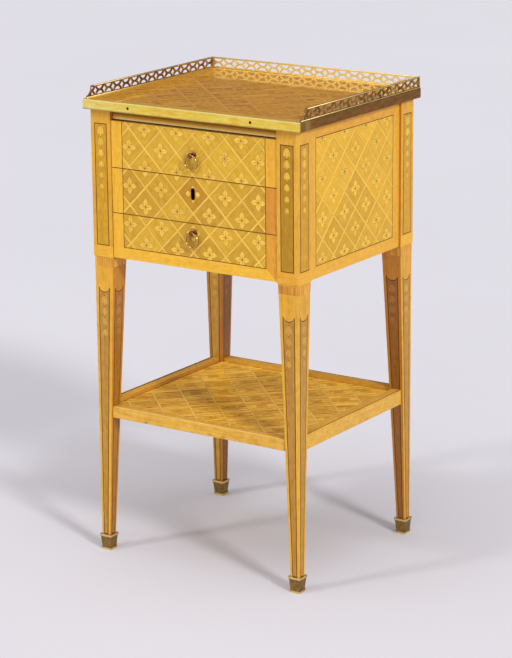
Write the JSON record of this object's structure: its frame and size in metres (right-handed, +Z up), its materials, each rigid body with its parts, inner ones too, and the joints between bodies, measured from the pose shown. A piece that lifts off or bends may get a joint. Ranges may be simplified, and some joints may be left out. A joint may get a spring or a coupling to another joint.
{
  "type": "writing table",
  "caption": "Small marquetry writing table with a pierced brass gallery, a pull-out writing slide, drawers with ring pulls, and a shelf between tapering legs.",
  "frame": {"origin": "on the floor under the middle of the table", "axes": "+Z up, the drawers face -Y, +X to the right of someone facing the drawers"},
  "size_m": [0.388, 0.345, 0.7376],
  "materials": {
    "aged_brass": "dark patina",
    "banding_wood": "French polish",
    "case_marquetry": "French polish",
    "edge_brass": "polished, aged",
    "leg_veneer": "French polish",
    "lock_iron": "filed",
    "oak": "raw, aged",
    "sabot_brass": "cast, aged",
    "screw_steel": "darkened",
    "shelf_marquetry": "French polish",
    "top_marquetry": "French polish",
    "writing_leather": "polished hide"
  },
  "bodies": {
    "case": {"back_panel": "oak", "case_bottom": "oak", "drawer_guides_left": "oak", "drawer_guides_right": "oak", "edge_band_back": "edge_brass", "edge_band_front": "edge_brass", "edge_band_left": "edge_brass", "edge_band_right": "edge_brass", "edge_band_screws": "screw_steel", "gallery_back": "edge_brass", "gallery_left": "edge_brass", "gallery_right": "edge_brass", "leg_back_left": "leg_veneer", "leg_back_right": "leg_veneer", "leg_front_left": "leg_veneer", "leg_front_right": "leg_veneer", "lower_divider": "oak", "sabot_back_left": "sabot_brass", "sabot_back_right": "sabot_brass", "sabot_front_left": "sabot_brass", "sabot_front_right": "sabot_brass", "shelf_panel": "shelf_marquetry", "shelf_rail_back": "banding_wood", "shelf_rail_front": "banding_wood", "shelf_rail_left": "banding_wood", "shelf_rail_right": "banding_wood", "side_panel_left": "case_marquetry", "side_panel_right": "case_marquetry", "slide_bearer": "oak", "top_board": "top_marquetry", "upper_divider": "oak"},
    "upper_drawer": {"upper_drawer_back": "oak", "upper_drawer_bottom": "oak", "upper_drawer_front": "case_marquetry", "upper_drawer_side_left": "oak", "upper_drawer_side_right": "oak", "upper_pull_knob": "aged_brass", "upper_pull_rosette": "aged_brass"},
    "middle_drawer": {"keyhole_escutcheon": "aged_brass", "lock_case": "lock_iron", "lock_screws": "lock_iron", "middle_drawer_back": "oak", "middle_drawer_bottom": "oak", "middle_drawer_front": "case_marquetry", "middle_drawer_side_left": "oak", "middle_drawer_side_right": "oak"},
    "lower_drawer": {"lower_drawer_back": "oak", "lower_drawer_bottom": "oak", "lower_drawer_front": "case_marquetry", "lower_drawer_side_left": "oak", "lower_drawer_side_right": "oak", "lower_pull_knob": "aged_brass", "lower_pull_rosette": "aged_brass"},
    "writing_slide": {"slide_board": "oak", "slide_front": "banding_wood", "slide_leather": "writing_leather"},
    "upper_ring": {"upper_pull_ring": "aged_brass"},
    "lower_ring": {"lower_pull_ring": "aged_brass"},
    "lock_bolt": {"lock_bolt": "lock_iron"}
  },
  "joints": [
    {"name": "upper_drawer_slide", "type": "slide", "parent": "case", "child": "upper_drawer", "axis": [0, -1, 0], "range_m": [0, 0.22]},
    {"name": "middle_drawer_slide", "type": "slide", "parent": "case", "child": "middle_drawer", "axis": [0, -1, 0], "range_m": [0, 0.22]},
    {"name": "lower_drawer_slide", "type": "slide", "parent": "case", "child": "lower_drawer", "axis": [0, -1, 0], "range_m": [0, 0.22]},
    {"name": "writing_slide_slide", "type": "slide", "parent": "case", "child": "writing_slide", "axis": [0, -1, 0], "range_m": [0, 0.2]},
    {"name": "upper_ring_hinge", "type": "hinge", "parent": "upper_drawer", "child": "upper_ring", "pos_m": [0, -0.168, 0.652], "axis": [-1, 0, 0], "range_deg": [0, 100]},
    {"name": "lower_ring_hinge", "type": "hinge", "parent": "lower_drawer", "child": "lower_ring", "pos_m": [0, -0.168, 0.534], "axis": [-1, 0, 0], "range_deg": [0, 100]},
    {"name": "lock_bolt_slide", "type": "slide", "parent": "middle_drawer", "child": "lock_bolt", "axis": [0, 0, 1], "range_m": [0, 0.0055]}
  ]
}
